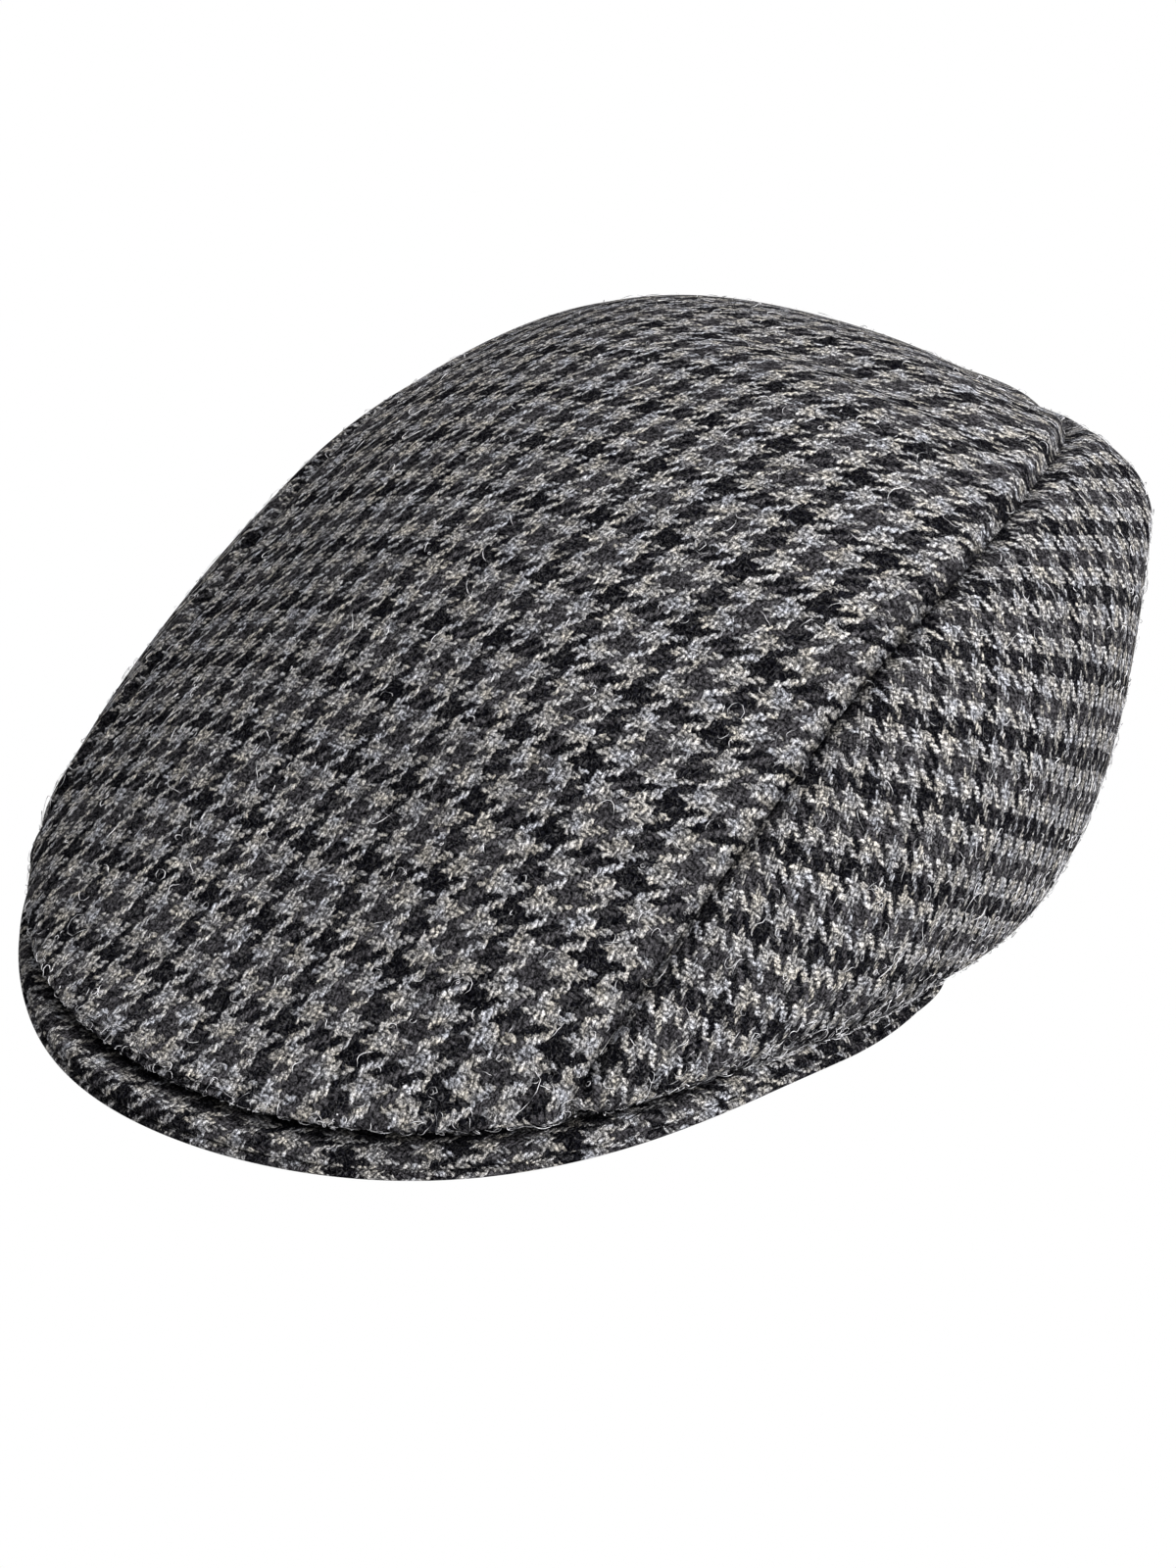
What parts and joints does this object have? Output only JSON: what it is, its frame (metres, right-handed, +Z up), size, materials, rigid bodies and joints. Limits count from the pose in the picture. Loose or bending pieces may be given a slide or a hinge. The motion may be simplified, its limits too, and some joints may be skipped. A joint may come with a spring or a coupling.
{
  "type": "flat cap",
  "caption": "Soft flat cap with a long top panel, a side panel on each side and a short covered peak, hollow and open below.",
  "frame": {"origin": "middle of the cap's box on the surface it rests on", "axes": "+Z up, -Y towards the peak, +X towards the wearer's left"},
  "size_m": [0.1994, 0.2684, 0.1062],
  "materials": {
    "wool_top": "thick brushed wool in a grey and black check",
    "wool_side": "thick brushed wool in a grey and black check",
    "wool_peak": "thick brushed wool in a grey and black check, over the peak"
  },
  "bodies": {
    "root": {"top_panel": "wool_top", "side_panel_left": "wool_side", "side_panel_right": "wool_side", "peak_top_cover": "wool_peak", "peak_under_cover": "wool_peak"}
  },
  "joints": []
}
